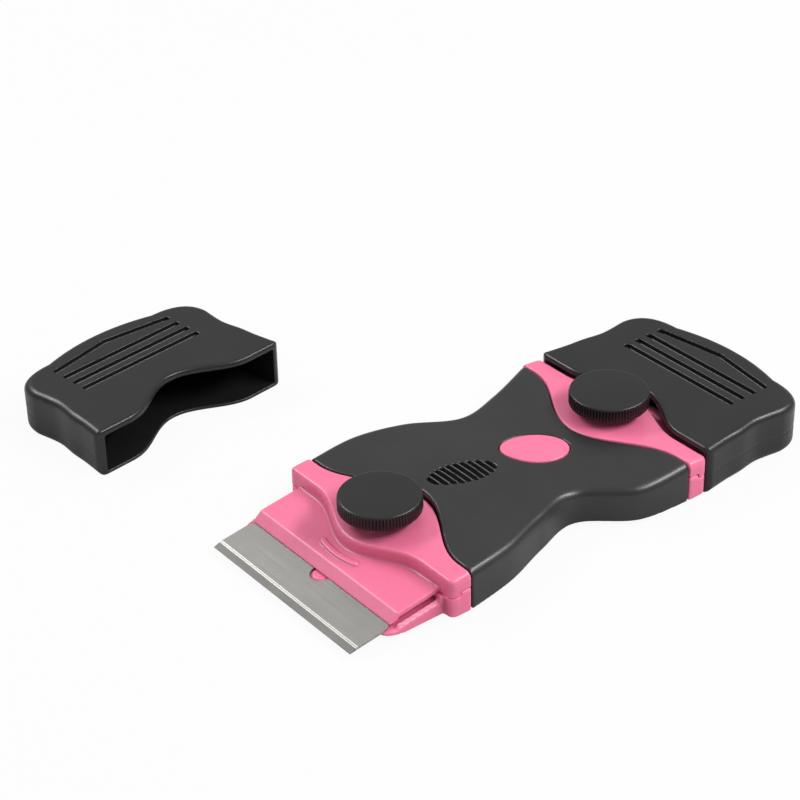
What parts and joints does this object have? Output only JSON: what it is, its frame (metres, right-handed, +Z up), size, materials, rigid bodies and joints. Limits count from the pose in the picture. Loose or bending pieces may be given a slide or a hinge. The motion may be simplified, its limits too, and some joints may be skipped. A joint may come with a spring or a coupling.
{
  "type": "adhesive scraper",
  "caption": "Double-ended blade scraper with a waisted grip, knurled thumb knobs that clamp a razor blade at each end, and push-on guard caps, one of them taken off.",
  "frame": {"origin": "middle of the base plate's resting face, halfway between the two knob axes", "axes": "+X along the tool from the bare blade to the capped end, +Y across it towards the loose cap, +Z up"},
  "size_m": [0.1141, 0.1097, 0.0136],
  "materials": {
    "charcoal_plastic": "satin moulded charcoal plastic with fine spark-eroded grain",
    "pink_plastic": "satin moulded pink plastic",
    "blade_steel": "brushed along the edge, with a ground bevel",
    "fastener_steel": "bright zinc"
  },
  "bodies": {
    "handle": {"lower_frame": "pink_plastic", "upper_grip": "charcoal_plastic", "base_plate": "charcoal_plastic", "oval_inlay": "pink_plastic", "case_screw_1": "fastener_steel", "case_screw_2": "fastener_steel", "case_screw_3": "fastener_steel", "case_screw_4": "fastener_steel", "front_clamp_nut": "fastener_steel", "rear_clamp_nut": "fastener_steel", "front_blade": "blade_steel", "rear_blade": "blade_steel"},
    "front_clamp": {"front_clamp": "pink_plastic"},
    "rear_clamp": {"rear_clamp": "pink_plastic"},
    "front_knob": {"front_knob": "charcoal_plastic", "front_clamp_stud": "fastener_steel", "front_retaining_ring": "fastener_steel"},
    "rear_knob": {"rear_knob": "charcoal_plastic", "rear_clamp_stud": "fastener_steel", "rear_retaining_ring": "fastener_steel"},
    "rear_cap": {"rear_cap": "charcoal_plastic"},
    "front_cap": {"front_cap": "charcoal_plastic"}
  },
  "joints": [
    {"name": "front_clamp_lift", "type": "slide", "parent": "handle", "child": "front_clamp", "axis": [0, 0, 1], "range_m": [0, 0.0014]},
    {"name": "front_knob_turn", "type": "hinge", "parent": "front_clamp", "child": "front_knob", "pos_m": [-0.02713, 0, 0.0116], "axis": [0, 0, 1], "range_deg": [0, 720]},
    {"name": "rear_clamp_lift", "type": "slide", "parent": "handle", "child": "rear_clamp", "axis": [0, 0, 1], "range_m": [0, 0.0014]},
    {"name": "rear_knob_turn", "type": "hinge", "parent": "rear_clamp", "child": "rear_knob", "pos_m": [0.02713, 0, 0.0116], "axis": [0, 0, 1], "range_deg": [0, 720]},
    {"name": "rear_cap_slide", "type": "slide", "parent": "handle", "child": "rear_cap", "axis": [1, 0, 0], "range_m": [0, 0.022]},
    {"name": "front_cap_lift", "type": "slide", "parent": "handle", "child": "front_cap", "axis": [0, 0, 1], "range_m": [0, 0.06]}
  ],
  "couplings": [
    {"joint": "front_knob_turn", "follows": "front_clamp_lift", "rad_per_m": 8976},
    {"joint": "rear_knob_turn", "follows": "rear_clamp_lift", "rad_per_m": 8976}
  ]
}
